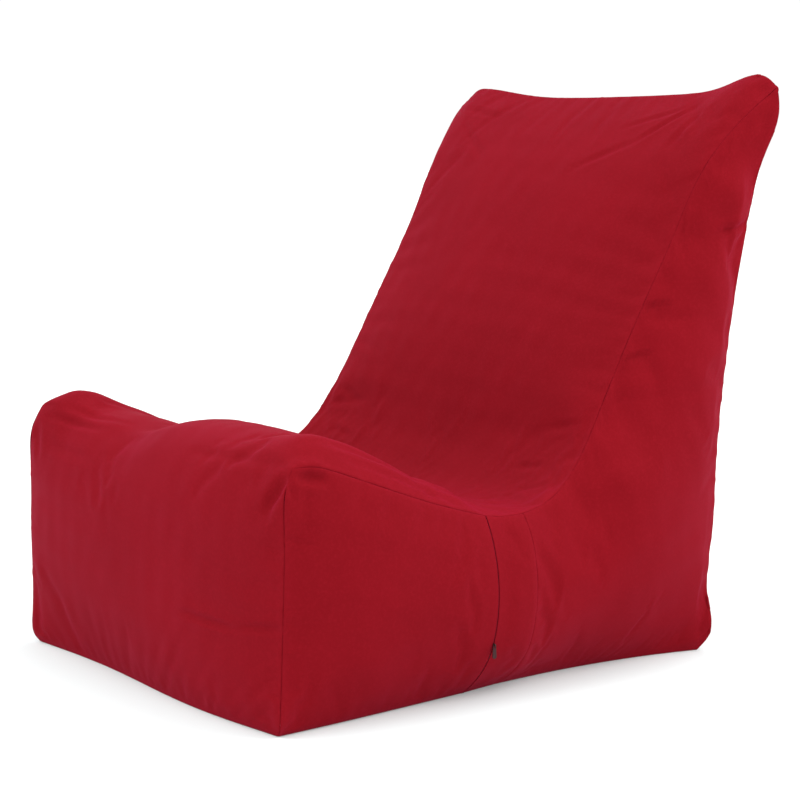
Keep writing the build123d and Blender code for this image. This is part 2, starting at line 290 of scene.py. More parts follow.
def spline(knots, count):
    """count + 1 points evenly spaced along a natural cubic spline through the knots."""
    knots = np.asarray(knots, float)
    t = np.concatenate([[0.0], np.cumsum(np.linalg.norm(np.diff(knots, axis=0), axis=1))])
    h = np.diff(t)
    last = len(knots) - 1
    matrix = np.eye(len(knots))
    rhs = np.zeros_like(knots)
    for i in range(1, last):
        matrix[i, i - 1:i + 2] = h[i - 1], 2 * (h[i - 1] + h[i]), h[i]
        rhs[i] = 6 * ((knots[i + 1] - knots[i]) / h[i] - (knots[i] - knots[i - 1]) / h[i - 1])
    bend = np.linalg.solve(matrix, rhs)
    x = np.linspace(0.0, t[-1], SPLINE_STEPS)
    i = np.clip(np.searchsorted(t, x) - 1, 0, last - 1)
    a, b, w = (t[i + 1] - x)[:, None], (x - t[i])[:, None], h[i][:, None]
    dense = (bend[i] * a**3 + bend[i + 1] * b**3) / (6 * w)
    dense += (knots[i] / w - bend[i] * w / 6) * a + (knots[i + 1] / w - bend[i + 1] * w / 6) * b
    run = np.concatenate([[0.0], np.cumsum(np.linalg.norm(np.diff(dense, axis=0), axis=1))])
    wanted = np.linspace(0.0, run[-1], count + 1)
    return np.stack([np.interp(wanted, run, dense[:, k]) for k in range(dense.shape[1])], 1)


def join(*curves):
    """Curves end to end, with each shared point kept once."""
    return np.concatenate([curves[0]] + [curve[1:] for curve in curves[1:]])


def middle(knots, count):
    """A curve on the bag's middle plane from (y, z) knots."""
    points = spline(knots, count)
    return np.concatenate([np.zeros((len(points), 1)), points], 1)


def band(right, centre, power):
    """Rows from the left seam to the right one that swell through the centre line."""
    u = np.linspace(-1.0, 1.0, ACROSS + 1)[None, :, None]
    left, right, centre = (right * MIRROR)[:, None], right[:, None], centre[:, None]
    straight = (left * (1 - u) + right * (1 + u)) / 2
    swell = (centre - (left + right) / 2) * np.array([0.0, 1.0, 1.0])
    return straight + swell * (1 - np.abs(u) ** power)


def coons(bottom, top, left, right):
    """The grid between four edges: rows run from bottom to top."""
    r = np.linspace(0.0, 1.0, len(left))[:, None, None]
    s = np.linspace(0.0, 1.0, len(bottom))[None, :, None]
    ruled = (1 - r) * bottom[None] + r * top[None] + (1 - s) * left[:, None] + s * right[:, None]
    corners = (1 - r) * ((1 - s) * bottom[0] + s * bottom[-1])
    corners = corners + r * ((1 - s) * top[0] + s * top[-1])
    return ruled - corners


def thin_plate(points, values):
    """A smooth function of (y, z) through the values at the points."""
    points = np.asarray(points, float)
    count = len(points)

    def kernel(distance):
        return distance**2 * np.log(np.maximum(distance, 1e-9))

    gaps = np.linalg.norm(points[:, None] - points[None], axis=-1)
    matrix = np.zeros((count + 3, count + 3))
    matrix[:count, :count] = kernel(gaps) + 1e-6 * np.eye(count)
    matrix[:count, count] = matrix[count, :count] = 1
    matrix[:count, count + 1:] = points
    matrix[count + 1:, :count] = points.T
    weights = np.linalg.solve(matrix, np.concatenate([values, np.zeros(3)]))

    def evaluate(where):
        far = np.linalg.norm(where[..., None, :] - points, axis=-1)
        return kernel(far) @ weights[:count] + weights[count] + where @ weights[count + 1:]

    return evaluate


# --- The bag's shape ---
def upright(top, foot):
    """A line up the side on the zip's arc, drawn in at both ends to meet the seams."""
    rise = np.linspace(0.0, 1.0, UP + 1)
    z = foot[2] + (top[2] - foot[2]) * rise
    y = foot[1] + (top[1] - foot[1]) * rise
    x = ZIP_CENTRE[0] + np.sqrt(ZIP_RADIUS**2 - (z - ZIP_CENTRE[1]) ** 2)
    x += (foot[0] - x[0]) * np.clip(1 - z / ARC_LOW, 0, 1) ** 2
    x += (top[0] - x[-1]) * np.clip((z - ARC_HIGH) / (top[2] - ARC_HIGH), 0, 1) ** 2
    return np.stack([x, y, z], 1)


def width_over_side(curves):
    """A smooth function for the bag's half width at any (y, z) of its side."""
    samples = np.concatenate([curve[::SAMPLE_STEP] for curve in curves] + [BELLY])
    _, first = np.unique(np.round(samples[:, 1:], 3), axis=0, return_index=True)
    samples = samples[np.sort(first)]
    return thin_plate(samples[:, 1:], samples[:, 0])


def side_grids():
    """The right side's three panels: front, strip and rear."""
    tops = [spline(SEAT_SEAM, SEAT), spline(STRIP_SEAM, STRIP), spline(BACK_SEAM, BACK)]
    feet = [spline(FLOOR_FRONT, SEAT), spline(FLOOR_STRIP, STRIP), spline(FLOOR_REAR, BACK)]
    uprights = [spline(FRONT_SEAM, UP), upright(tops[1][0], feet[1][0]),
                upright(tops[1][-1], feet[1][-1]), spline(REAR_SEAM, UP)]
    width_at = width_over_side(uprights + tops + feet)
    grids = []
    for top, foot, left, right in zip(tops, feet, uprights[:-1], uprights[1:]):
        grid = coons(foot, top, left, right)
        r = np.linspace(0, 1, grid.shape[0])[:, None]
        s = np.linspace(0, 1, grid.shape[1])[None, :]
        inner = np.minimum(r, 1 - r) * SEAM_SHARE + 0 * s
        # The narrow strip follows the belly right up to its two long edges.
        if len(top) > STRIP + 1:
            inner = np.minimum(inner, np.minimum(s, 1 - s) * SEAM_SHARE)
        inner = np.clip(inner, 0, 1)
        grid[..., 0] += (width_at(grid[..., 1:]) - grid[..., 0]) * inner
        grid[:, 0], grid[:, -1], grid[0], grid[-1] = left, right, foot, top
        grids.append(grid)
    return grids


def ears(u, places):
    """Height added across a panel by the soft ears beside its two corners."""
    total = 0 * u
    for place, height, spread in places:
        away = (u - place) * np.sign(place)
        reach = np.where(away < 0, spread, EAR_OUTER)
        total = total + height * np.exp(-((away / reach) ** 2))
    return total * (1 - np.abs(u) ** EAR_EDGE)


def shape_seat(main, plain, u):
    """The seat's soft front ears, hollow and tilt, and the roll along each side."""
    y, z = plain[..., 1], plain[..., 2]
    front_edge = hump(y, *SEAT_EAR_LINE) * fade(z, SEAT_FADE) * (y < SEAT_EAR_END)
    top = fade(z, SEAT_FADE) * fade(-y, DIP_FADE)
    place, depth, spread = SEAT_DIP
    main[..., 2] += ears(u, SEAT_EARS) * front_edge - depth * hump(u, place, spread) * top
    main[..., 2] += SEAT_TILT * u * (1 - u**2) * top
    place, height, spread = SEAT_RIDGE
    along = fade(y, RIDGE_FRONT_FADE) * fade(-y, RIDGE_REAR_FADE) * (z > SEAT_LOW)
    roll = hump(np.abs(u), place, spread) * (1 - np.abs(u) ** RIDGE_EDGE)
    main[..., 2] += height * roll * along


def skew_foot(main, floor, plain, u):
    """The front foot runs a little skewed across the floor."""
    skew = FRONT_SKEW * np.sin(np.pi * u)
    main[..., 1] += skew * hump(plain[..., 2], 0, SKEW_UP) * (plain[..., 1] < SKEW_END)
    floor[..., 1] += skew * hump(floor[..., 1], SKEW_LINE, SKEW_BACK)


def lift_uneven_corners(grids):
    """The same swell or sag for all the panels that meet at a corner."""
    for x, y, low, height, reach in UNEVEN_CORNERS:
        for grid in grids:
            away = ((grid[..., 0] - x) ** 2 + (grid[..., 1] - y) ** 2) / reach**2
            full = np.exp(-away) * fade(grid[..., 2], (low, UNEVEN_RISE))
            grid += full[..., None] * UNEVEN_WAY * height


def bag_grids():
    """The nine panels at their simulation density, as grids that share their seam points."""
    main_edge = join(spline(FRONT_SEAM, UP), spline(SEAT_SEAM, SEAT), spline(STRIP_SEAM, STRIP),
                     spline(BACK_SEAM, BACK))
    main_line = join(middle(FRONT_LINE, UP), middle(SEAT_LINE, SEAT), middle(STRIP_LINE, STRIP),
                     middle(BACK_LINE, BACK))
    floor_edge = join(spline(FLOOR_FRONT, SEAT), spline(FLOOR_STRIP, STRIP),
                      spline(FLOOR_REAR, BACK))
    floor_line = np.zeros_like(floor_edge)
    floor_line[:, 1] = np.linspace(FRONT_LINE[0][0], REAR_LINE[0][0], len(floor_line))
    main = band(main_edge, main_line, CROWN)
    rear = band(spline(REAR_SEAM, UP), middle(REAR_LINE, UP), CROWN)
    floor = band(floor_edge, floor_line, FLOOR_CROWN)

    u = np.linspace(-1.0, 1.0, ACROSS + 1)[None, :]
    for grid in (main, rear):
        grid[..., 2] += ears(u, TOP_EARS) * fade(grid[..., 2], TOP_FADE) * (grid[..., 1] > 0)
    plain = main.copy()
    shape_seat(main, plain, u)
    skew_foot(main, floor, plain, u)
    floor[0], floor[-1] = main[0], rear[0]

    # Columns run so that every panel's faces, wound column by row, point out of the bag.
    grids = {"front_seat_back_panel": main, "rear_panel": rear[:, ::-1],
             "bottom_panel": floor[:, ::-1]}
    for name, grid in zip(SIDE_PANELS, side_grids()):
        grids[name + "_right"] = grid
        grids[name + "_left"] = (grid * MIRROR)[:, ::-1]
    lift_uneven_corners(grids.values())
    return grids


# --- Grids and meshes ---
def grid_quads(rows, columns, start=0):
    """The corners of a grid's cells, wound column by row, for points numbered from start."""
    ids = start + np.arange(rows * columns).reshape(rows, columns)
    return np.stack([ids[:-1, :-1], ids[:-1, 1:], ids[1:, 1:], ids[1:, :-1]], -1).reshape(-1, 4)


def smooth_mesh(name, points, quads):
    """A smooth mesh from arrays of points and quads."""
    mesh = bpy.data.meshes.new(name)
    mesh.from_pydata(points.tolist(), [], quads.tolist())
    mesh.polygons.foreach_set("use_smooth", np.ones(len(quads), bool))
    return mesh


def in_scene(name, data):
    """An object with this data, put into the scene."""
    obj = bpy.data.objects.new(name, data)
    bpy.context.scene.collection.objects.link(obj)
    return obj


def welded(grids):
    """All the grids as one list of points and quads, with shared seam points merged."""
    points = np.concatenate([grid.reshape(-1, 3) for grid in grids.values()])
    _, first, index = np.unique(np.round(points, 5), axis=0, return_index=True,
                                return_inverse=True)
    index = index.reshape(-1)
    quads, start = [], 0
    for grid in grids.values():
        rows, columns = grid.shape[:2]
        quads.append(grid_quads(rows, columns, start))
        start += rows * columns
    return points[first], index[np.concatenate(quads)], index


def normals_of(points, quads):
    """Unit normals of the points of a mesh of quads."""
    corner = points[quads]
    face = np.cross(corner[:, 2] - corner[:, 0], corner[:, 3] - corner[:, 1])
    total = np.zeros_like(points)
    for k in range(4):
        np.add.at(total, quads[:, k], face)
    return total / np.maximum(np.linalg.norm(total, axis=1, keepdims=True), 1e-12)


def like(grids, values):
    """Values in the grids' running order, cut back into grids."""
    out, start = {}, 0
    for name, grid in grids.items():
        count = grid.shape[0] * grid.shape[1]
        out[name] = values[start:start + count].reshape(*grid.shape[:2], -1)
        start += count
    return out


def shared_normals(grids):
    """Normals of the whole bag at each grid's points, so that neighbours agree at seams."""
    points, quads, index = welded(grids)
    return like(grids, normals_of(points, quads)[index])


def cubic(values, where):
    """Rows of values read at fractional row numbers, by Catmull-Rom."""
    first, last = 2 * values[0] - values[1], 2 * values[-1] - values[-2]
    padded = np.concatenate([first[None], values, last[None]])
    i = np.clip(np.floor(where).astype(int), 0, len(values) - 2)
    f = (where - i).reshape((-1,) + (1,) * (values.ndim - 1))
    a, b, c, d = (padded[i + k] for k in range(4))
    return b + 0.5 * f * (c - a + f * (2 * a - 5 * b + 4 * c - d + f * (3 * (b - c) + d - a)))


def cubic_by_parts(values, where, corners):
    """The same, but with a corner kept sharp at each row named in corners."""
    stops = [0, *corners, len(values) - 1]
    out = np.zeros((len(where),) + values.shape[1:])
    for low, high in zip(stops[:-1], stops[1:]):
        inside = (where >= low) & (where <= high)
        out[inside] = cubic(values[low:high + 1], where[inside] - low)
    return out


def fine_steps(count, per_cell, edge_rows):
    """Fractional row numbers, closer together by edge_rows at both ends."""
    even = np.linspace(0, count, int(count * per_cell) + 1)
    near = np.array(edge_rows)
    clear = near[-1] * 1.4
    inner = even[(even > clear) & (even < count - clear)]
    return np.concatenate([near, inner, (count - near)[::-1]])


def wave(x, seed, wavelength):
    """A smooth random line of about that wavelength, from about -1 to 1, as six sines."""
    rng = np.random.default_rng(seed)
    total = np.zeros_like(x)
    for k in range(6):
        step = wavelength * (0.7 + 0.16 * k) * (0.9 + 0.2 * rng.random())
        total += np.sin(2 * np.pi * (x / step + rng.random())) * (0.6 + 0.4 * rng.random())
    return total / 3.2


def lumps(points, seed):
    """Smooth random swells in space, from about -1 to 1, as fourteen plane waves."""
    rng = np.random.default_rng(seed)
    total = np.zeros(points.shape[:2])
    for _ in range(14):
        way = rng.normal(size=3)
        way *= 2 * np.pi / (np.linalg.norm(way) * rng.uniform(*LUMP_SPACING))
        total += np.sin(points @ way + rng.uniform(0, 2 * np.pi))
    return total / 4.5


# --- Cloth simulation ---
SIM_FRAMES = 20
MOST_MOVE = 0.016  # how far the simulation may move any point
SLACK_REACH = 0.10  # how far from a seam the cloth has spare length
SLACK_FOOT = 0.16  # height over which the spare length comes in
FLOOR_HOLD = 0.012  # height below which the cloth is held by the floor
LEAST_HOLD = 0.12  # how firmly the beads hold the cloth everywhere
ZIP_REACH = 0.030  # how far from its line the zip holds the cloth
# The fold between seat and back: y, reach, half width and how firmly it is held
CROOK_Y, CROOK_REACH, CROOK_SIDE, CROOK_HOLD = 0.05, 0.09, 0.36, 0.4


def hold_at(point, gap):
    """How firmly a point keeps its place: fully on the floor and at a seam, where gap is 0."""
    if gap < 1e-6 or point[2] < FLOOR_HOLD:
        return 1.0
    by_zip = np.exp(-((point[1] - ZIP_Y) / ZIP_REACH) ** 4) * (abs(point[0]) > ZIP_CENTRE[0])
    crook = CROOK_HOLD * hump(point[1], CROOK_Y, CROOK_REACH) * (abs(point[0]) < CROOK_SIDE)
    return max(LEAST_HOLD, float(by_zip), float(crook))


def slack_at(point, gap):
    """The share of the spare length that a point gets."""
    return float(hump(gap, 0, SLACK_REACH) * smoothstep(point[2] / SLACK_FOOT))


def cloth_object(points, quads, nearest):
    """The whole cover as one object, with groups for where it is held and has slack."""
    cloth = in_scene("cover_cloth", smooth_mesh("cover_cloth", points, quads))
    hold = cloth.vertex_groups.new(name="hold")
    slack = cloth.vertex_groups.new(name="slack")
    for i, gap in enumerate(nearest):
        hold.add([i], hold_at(points[i], gap), "REPLACE")
        slack.add([i], slack_at(points[i], gap), "REPLACE")
    return cloth


def add_cloth_physics(cloth):
    """Thin cloth, blown up a little by the beads and held back by its groups."""
    modifier = cloth.modifiers.new("settle", "CLOTH")
    settings = modifier.settings
    settings.quality = 6
    settings.mass = 0.3
    settings.tension_stiffness = settings.compression_stiffness = 25
    settings.shear_stiffness = 8
    settings.bending_stiffness = 0.8
    settings.tension_damping = settings.compression_damping = settings.shear_damping = 8
    settings.air_damping = 4
    settings.vertex_group_mass = "hold"
    settings.pin_stiffness = 0.6
    settings.vertex_group_shrink = "slack"
    settings.shrink_min = -0.004
    settings.shrink_max = -0.026
    settings.use_pressure = True
    settings.uniform_pressure_force = 3.0
    settings.effector_weights.gravity = 0.0
    modifier.collision_settings.use_collision = False
    modifier.collision_settings.use_self_collision = False
    modifier.point_cache.frame_start = 1
    modifier.point_cache.frame_end = SIM_FRAMES


def run_simulation(cloth):
    """The points of the cloth after its last frame."""
    for step in range(1, SIM_FRAMES + 1):
        bpy.context.scene.frame_set(step)
    shown = cloth.evaluated_get(bpy.context.evaluated_depsgraph_get())
    moved = np.zeros(len(cloth.data.vertices) * 3, np.float32)
    shown.data.vertices.foreach_get("co", moved)
    return moved.reshape(-1, 3).astype(float)


def settle(grids):
    """Let the cloth swell and wrinkle between its seams, and return the moved grids."""
    points, quads, index = welded(grids)
    flat = [np.minimum.reduce(edge_runs(grid)).reshape(-1) for grid in grids.values()]
    nearest = np.full(len(points), 1.0)
    np.minimum.at(nearest, index, np.concatenate(flat))
    cloth = cloth_object(points, quads, nearest)
    add_cloth_physics(cloth)
    shift = run_simulation(cloth) - points
    bpy.data.objects.remove(cloth)
    bpy.context.scene.frame_set(1)
    size = np.linalg.norm(shift, axis=1, keepdims=True)
    shift *= MOST_MOVE * np.tanh(size / MOST_MOVE) / np.maximum(size, 1e-9)
    print(f"cloth moved up to {size.max() * 1000:.1f} mm, {size.mean() * 1000:.1f} mm on average")
    return like(grids, (points + shift)[index])


# --- Panels ---
CLOTH = 0.0012
EDGE_ROWS = (0.0, 0.05, 0.12, 0.22, 0.36, 0.56)  # in cells, closer together by a seam
# How each kind of edge turns in: (depth, width, lip, gap) in metres
EDGES = {
    "seam": (0.0026, 0.0060, 0.005, 0.0002),
    "low_seam": (0.0007, 0.0045, 0.003, 0.0001),
    "foot": (0.0016, 0.0040, 0.004, 0.0002),
    "flat_seam": (0.0009, 0.0030, 0.003, 0.0002),
    "zip": (0.0009, 0.0022, 0.0003, 0.0009),
}
# Per panel: kinds of edge (foot, top, first column, last column) and cells' fineness
PANELS = {
    "front_seat_back_panel": (("foot", "seam", "seam", "seam"), 1.9, 2.1),
    "rear_panel": (("foot", "seam", "seam", "seam"), 2.8, 2.1),
    "bottom_panel": (("foot", "foot", "foot", "foot"), 1.0, 1.0),
    "side_front_panel_right": (("foot", "seam", "low_seam", "zip"), 1.5, 2.2),
    "zip_strip_right": (("foot", "seam", "zip", "flat_seam"), 1.5, 2.0),
    "side_rear_panel_right": (("foot", "seam", "flat_seam", "seam"), 2.6, 1.7),
}
for name in SIDE_PANELS:
    (foot, top, first_column, last_column), *fineness = PANELS[name + "_right"]
    PANELS[name + "_left"] = ((foot, top, last_column, first_column), *fineness)
# Rows at which the coarse grid turns a corner that stays sharp at the seams
SHARP_ROWS = {
    "front_seat_back_panel": [UP, UP + SEAT, UP + SEAT + STRIP],
    "bottom_panel": [SEAT, SEAT + STRIP],
}
EASY_TURN = (0.42, 0.36)  # heights from which, and over which, side seams turn in less
EASY_SHARE = 0.65
PUCKER = 0.0011
SMALL_PUCKER = (0.024, 0.016)  # wavelength along the seam, and reach away from it
LARGE_PUCKER = (0.075, 0.045)
LARGE_SHARE = 1.6  # how much higher the large puckers are
PUCKER_START = 0.005  # the cloth lies flat this near to a seam
ZIP_FLAT = 0.04  # and this near to a zip
LUMP = 0.0007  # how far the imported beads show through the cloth
LUMP_SPACING = (0.045, 0.090)
LUMP_START = 0.03  # distance from a seam over which the beads begin to show
LUMP_SEED = 77
RIDGE = 1.3  # how much of a crease stands up as low ridges beside it
FAR_SHARE = 0.8  # depth of a side crease's mirror image
CREASE_THROUGH = 0.03  # how far off the surface a crease still marks the cloth
# Folds pressed into the cloth, as (start, end, width, depth)
SIDE_CREASES = [
    # Two long folds beside the seat's side seam, and the dent by the front corner
    ((0.351, -0.440, 0.432), (0.363, -0.224, 0.359), 0.009, 0.0052),
    ((0.374, -0.400, 0.410), (0.396, -0.165, 0.315), 0.008, 0.0044),
    ((0.365, -0.240, 0.365), (0.372, -0.090, 0.305), 0.009, 0.0036),
    ((0.388, -0.484, 0.392), (0.350, -0.507, 0.330), 0.015, 0.0060),
    ((0.392, -0.474, 0.392), (0.403, -0.424, 0.384), 0.014, 0.0085),
    ((0.398, -0.488, 0.392), (0.402, -0.486, 0.350), 0.007, 0.0030),
    ((0.399, -0.508, 0.304), (0.408, -0.450, 0.287), 0.006, 0.0022),
    # Short folds where the seat turns up into the back
    ((0.215, -0.060, 0.300), (0.330, -0.030, 0.296), 0.006, 0.0030),
    ((0.270, 0.030, 0.312), (0.352, 0.052, 0.328), 0.006, 0.0030),
    ((0.237, -0.001, 0.308), (0.300, 0.025, 0.314), 0.007, 0.0034),
    ((0.232, 0.071, 0.340), (0.310, 0.080, 0.349), 0.008, 0.0034),
    ((0.270, 0.118, 0.400), (0.352, 0.132, 0.418), 0.010, 0.0028),
    # Pulls from the rear seam, and slack in the back panel under its top corner
    ((0.389, 0.472, 0.745), (0.399, 0.375, 0.727), 0.009, 0.0062),
    ((0.386, 0.440, 0.590), (0.372, 0.240, 0.582), 0.013, 0.0024),
    ((0.369, 0.236, 0.606), (0.388, 0.292, 0.611), 0.006, 0.0030),
    ((0.367, 0.196, 0.520), (0.386, 0.248, 0.530), 0.006, 0.0030),
    ((0.400, 0.400, 0.470), (0.372, 0.170, 0.452), 0.015, 0.0022),
    ((0.300, 0.490, 0.930), (0.210, 0.480, 0.780), 0.014, 0.0034),
    ((0.386, 0.415, 0.250), (0.250, 0.430, 0.300), 0.013, 0.0030),
    ((0.384, 0.408, 0.110), (0.290, 0.420, 0.080), 0.011, 0.0026),
]
# Folds on the near half only
NEAR_CREASES = [
    # Across the front
    ((0.150, -0.526, 0.156), (0.310, -0.519, 0.152), 0.009, 0.0042),
    ((0.300, -0.520, 0.156), (0.400, -0.511, 0.168), 0.009, 0.0032),
    ((0.365, -0.480, 0.405), (0.100, -0.482, 0.392), 0.013, 0.0030),
    # Rays from the near ear across the top of the back
    ((0.285, 0.455, 0.945), (0.190, 0.388, 0.875), 0.007, 0.0034),
    ((0.200, 0.393, 0.880), (0.070, 0.345, 0.826), 0.010, 0.0030),
    ((0.268, 0.452, 0.940), (0.135, 0.410, 0.900), 0.007, 0.0028),
    ((0.305, 0.440, 0.934), (0.277, 0.385, 0.868), 0.010, 0.0026),
]
# Folds on the far half only
FAR_CREASES = [
    ((-0.370, -0.486, 0.405), (-0.200, -0.470, 0.400), 0.009, 0.0034),
    ((-0.345, -0.470, 0.425), (-0.170, -0.426, 0.405), 0.010, 0.0034),
    ((-0.340, -0.500, 0.360), (-0.180, -0.505, 0.350), 0.014, 0.0024),
    ((-0.350, 0.450, 0.943), (-0.225, 0.430, 0.925), 0.008, 0.0030),
    ((-0.340, 0.430, 0.915), (-0.190, 0.360, 0.845), 0.011, 0.0026),
    ((-0.370, 0.110, 0.385), (-0.250, 0.120, 0.400), 0.011, 0.0034),
    ((-0.366, 0.180, 0.500), (-0.240, 0.170, 0.480), 0.013, 0.0026),
]


def edge_runs(points):
    """Distance of each point from the foot, top, first and last column of its grid."""
    across = np.linalg.norm(np.diff(points, axis=1), axis=2)
    along = np.linalg.norm(np.diff(points, axis=0), axis=2)
    left = np.concatenate([np.zeros((len(points), 1)), np.cumsum(across, 1)], 1)
    foot = np.concatenate([np.zeros((1, points.shape[1])), np.cumsum(along, 0)], 0)
    return foot, foot[-1:] - foot, left, left[:, -1:] - left


def unit(vectors):
    """The vectors at length 1."""
    return vectors / np.maximum(np.linalg.norm(vectors, axis=-1, keepdims=True), 1e-12)


def grid_normals(points):
    """Normals of one panel, from its own rows and columns."""
    across = np.gradient(points, axis=1)
    along = np.gradient(points, axis=0)
    return unit(np.cross(across, along))


def press_creases(points, normals):
    """Push each crease into the cloth, with a low ridge on both sides."""
    push = np.zeros(points.shape[:2])
    sides = [(np.array(a), np.array(b), width, depth) for a, b, width, depth in SIDE_CREASES]
    sides += [(a * MIRROR, b * MIRROR, width, depth * FAR_SHARE) for a, b, width, depth in sides]
    single = [(np.array(a), np.array(b), width, depth)
              for a, b, width, depth in NEAR_CREASES + FAR_CREASES]
    for start, end, width, depth in sides + single:
        run = end - start
        t = np.clip(((points - start) @ run) / (run @ run), 0, 1)
        away = points - (start + t[..., None] * run)
        out = np.sum(away * normals, axis=-1)
        gap = np.linalg.norm(away - normals * out[..., None], axis=-1) / width
        ends = np.sin(np.pi * np.clip(t, 0.02, 0.98)) ** 0.7
        near = ends * np.exp(-(out / CREASE_THROUGH) ** 2)
        push += depth * (1 - RIDGE * gap**2) * np.exp(-gap**2) * near
    return points - normals * push[..., None]


def refiner(name, shape):
    """A function that reads a panel's coarse grid of values at its fine rows and columns."""
    _, row_fineness, column_fineness = PANELS[name]
    rows = fine_steps(shape[0] - 1, row_fineness, EDGE_ROWS)
    columns = fine_steps(shape[1] - 1, column_fineness, EDGE_ROWS)
    corners = SHARP_ROWS.get(name)
    aside = np.abs(np.linspace(-1, 1, shape[1]))[None, :, None]

    def finer(values):
        smooth = cubic(values, rows)
        if corners:
            by_parts = cubic_by_parts(values, rows, corners)
            smooth = smooth + (by_parts - smooth) * fade(aside, (0.9, 0.1))
        return cubic(smooth.swapaxes(0, 1), columns).swapaxes(0, 1)

    return finer


def turned_in(name, points, normals, seam_normals, runs):
    """The way each point is drawn in by the seam that pulls it most."""
    edge_normals = (seam_normals[:1], seam_normals[-1:], seam_normals[:, :1],
                    seam_normals[:, -1:])
    pull = np.zeros_like(points)
    strongest = np.zeros(points.shape[:2])
    for k, (kind, run, edge_normal) in enumerate(zip(PANELS[name][0], runs, edge_normals)):
        depth, width, _, _ = EDGES[kind]
        closeness = np.clip(1 - run / width, 0, 1)
        turn = depth * (1 - np.sqrt(1 - closeness**2))
        if kind == "seam" and (k > 1 or name.startswith("side")):
            turn = turn * (1 - EASY_SHARE * fade(points[..., 2], EASY_TURN))
        way = unit(edge_normal * closeness[..., None] + normals * (1 - closeness[..., None]))
        better = turn > strongest
        pull = np.where(better[..., None], -way * turn[..., None], pull)
        strongest = np.maximum(strongest, turn)
    return pull


def swells(name, points, runs):
    """How far each point stands out: puckers beside the seams, and beads under the cloth."""
    kinds = PANELS[name][0]
    height = np.zeros(points.shape[:2])
    for k, (kind, run) in enumerate(zip(kinds, runs)):
        if kind in ("seam", "low_seam"):
            along = runs[2] if k < 2 else runs[0]
            seed = 10 * sorted(PANELS).index(name) + k
            step, reach = SMALL_PUCKER
            small = wave(along, seed, step) * np.exp(-run / reach)
            step, reach = LARGE_PUCKER
            large = LARGE_SHARE * wave(along, seed + 500, step) * np.exp(-run / reach)
            height += PUCKER * (small + large) * (1 - np.exp(-run / PUCKER_START))
    nearest = np.minimum.reduce(runs)
    height += LUMP * lumps(points, LUMP_SEED) * smoothstep(nearest / LUMP_START)
    for kind, run in zip(kinds, runs):
        if kind in ("zip", "flat_seam"):
            height *= smoothstep(run / ZIP_FLAT)
    return height


def with_lip(points, seam_normals, kinds):
    """The grid with a lip beyond each edge, which goes down into the seam.

    Each edge is also drawn back a little from its neighbour.
    """
    framed = np.pad(points, ((1, 1), (1, 1), (0, 0)), mode="edge")
    framed_normals = np.pad(seam_normals, ((1, 1), (1, 1), (0, 0)), mode="edge")
    edges = (np.s_[0, :], np.s_[-1, :], np.s_[:, 0], np.s_[:, -1])
    firsts = (np.s_[1, :], np.s_[-2, :], np.s_[:, 1], np.s_[:, -2])
    inners = (np.s_[3, :], np.s_[-4, :], np.s_[:, 3], np.s_[:, -4])
    for kind, edge, first, inner in zip(kinds, edges, firsts, inners):
        _, _, lip, gap = EDGES[kind]
        back = unit(framed[inner] - framed[first]) * gap
        framed[first] = framed[first] + back
        framed[edge] = framed[first] - framed_normals[edge] * lip
    return framed


def panel(name, grid, weld_normals):
    """One panel of the cover as an object, with its edges turned in at the seams."""
    finer = refiner(name, grid.shape)
    points = finer(grid)
    seam_normals = unit(finer(weld_normals))
    normals = grid_normals(points)
    runs = edge_runs(points)
    points = press_creases(points, normals)
    pull = turned_in(name, points, normals, seam_normals, runs)
    points = points + pull + normals * swells(name, points, runs)[..., None]
    if name == "bottom_panel":
        points[..., 2] = np.maximum(points[..., 2], 0.0)
    framed = with_lip(points, seam_normals, PANELS[name][0])
    uv = np.stack([np.pad(runs[2], 1, mode="edge"), np.pad(runs[0], 1, mode="edge")], -1)
    near = np.pad(np.minimum.reduce(runs), 1, mode="edge")
    obj = grid_object(name.replace("_panel", "") + "_cloth", framed, uv, near)
    solid = obj.modifiers.new("thickness", "SOLIDIFY")
    solid.thickness = CLOTH
    solid.offset = -1.0
    apply_modifiers(obj)
    return obj


def grid_object(name, points, uv, near):
    """A mesh object from a grid of points, with its cloth lengths and nearness to seams."""
    quads = grid_quads(*points.shape[:2])
    mesh = smooth_mesh(name, points.reshape(-1, 3), quads)
    layer = mesh.uv_layers.new(name="cloth")
    corners = uv.reshape(-1, 2)[quads.reshape(-1)]
    layer.data.foreach_set("uv", corners.astype(np.float32).ravel())
    attribute = mesh.attributes.new("seam", "FLOAT", "POINT")
    rubbed = np.exp(-near / SEAM_RUB)
    attribute.data.foreach_set("value", rubbed.astype(np.float32).ravel())
    return in_scene(name, mesh)


def apply_modifiers(obj):
    """Replace the object's mesh by what its modifiers make of it."""
    bpy.context.view_layer.update()
    shown = obj.evaluated_get(bpy.context.evaluated_depsgraph_get())
    mesh = bpy.data.meshes.new_from_object(shown)
    obj.modifiers.clear()
    obj.data = mesh


# --- Materials ---
def new_material(name, colour, roughness):
    """A material with its node tree and main shader."""
    material = bpy.data.materials.new(name)
    material.use_nodes = True
    tree = material.node_tree
    shader = tree.nodes["Principled BSDF"]
    shader.inputs["Base Color"].default_value = (*colour, 1)
    shader.inputs["Roughness"].default_value = roughness
    return material, tree, shader


def feed(tree, value, socket):
    """Set a socket by another node's output or by a plain value."""
    if hasattr(value, "links"):
        tree.links.new(value, socket)
    else:
        socket.default_value = value


def mix_colour(tree, factor, a, b):
    """The colour between a and b, which are outputs or plain red, green, blue and alpha."""
    node = tree.nodes.new("ShaderNodeMix")
    node.data_type = "RGBA"
    # The node's colour sockets are its inputs 6 and 7 and its output 2.
    for socket, value in ((node.inputs[0], factor), (node.inputs[6], a), (node.inputs[7], b)):
        feed(tree, value, socket)
    return node.outputs[2]


